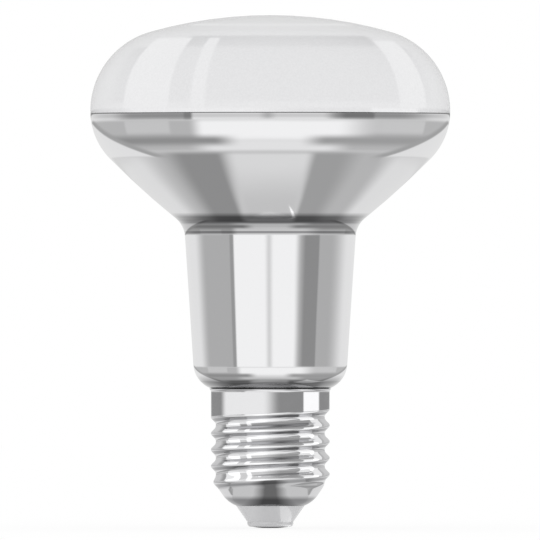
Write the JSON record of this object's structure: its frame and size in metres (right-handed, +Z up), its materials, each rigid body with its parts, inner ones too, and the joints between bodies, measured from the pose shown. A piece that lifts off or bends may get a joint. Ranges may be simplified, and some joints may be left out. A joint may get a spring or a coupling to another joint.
{
  "type": "reflector bulb",
  "caption": "Reflector bulb: a blown glass shell with a mirrored cone and neck, a frosted dome and a screw cap for lamp holders.",
  "frame": {"origin": "centre of the contact plate's flat underside, the lowest point of the bulb", "axes": "+Z up along the bulb's axis from the contact to the dome; +X and +Y across it, with a thread crest crossing +X at z = 19.2 mm"},
  "size_m": [0.08, 0.08, 0.114],
  "materials": {
    "clear_glass": "clear polished",
    "mirror_coat": "vapour-deposited aluminium",
    "frost_coat": "satin frosted white",
    "cement": "matt",
    "cap_metal": "bright nickel plate",
    "insulator": "smooth light grey",
    "contact_metal": "tinned",
    "lead_wire": "plain wire"
  },
  "bodies": {
    "root": {"glass_bulb": "clear_glass", "mirror_coating": "mirror_coat", "frost_coating": "frost_coat", "basing_cement": "cement", "screw_shell": "cap_metal", "cap_insulator": "insulator", "centre_contact": "contact_metal", "centre_lead": "lead_wire", "side_lead": "lead_wire"}
  },
  "joints": []
}
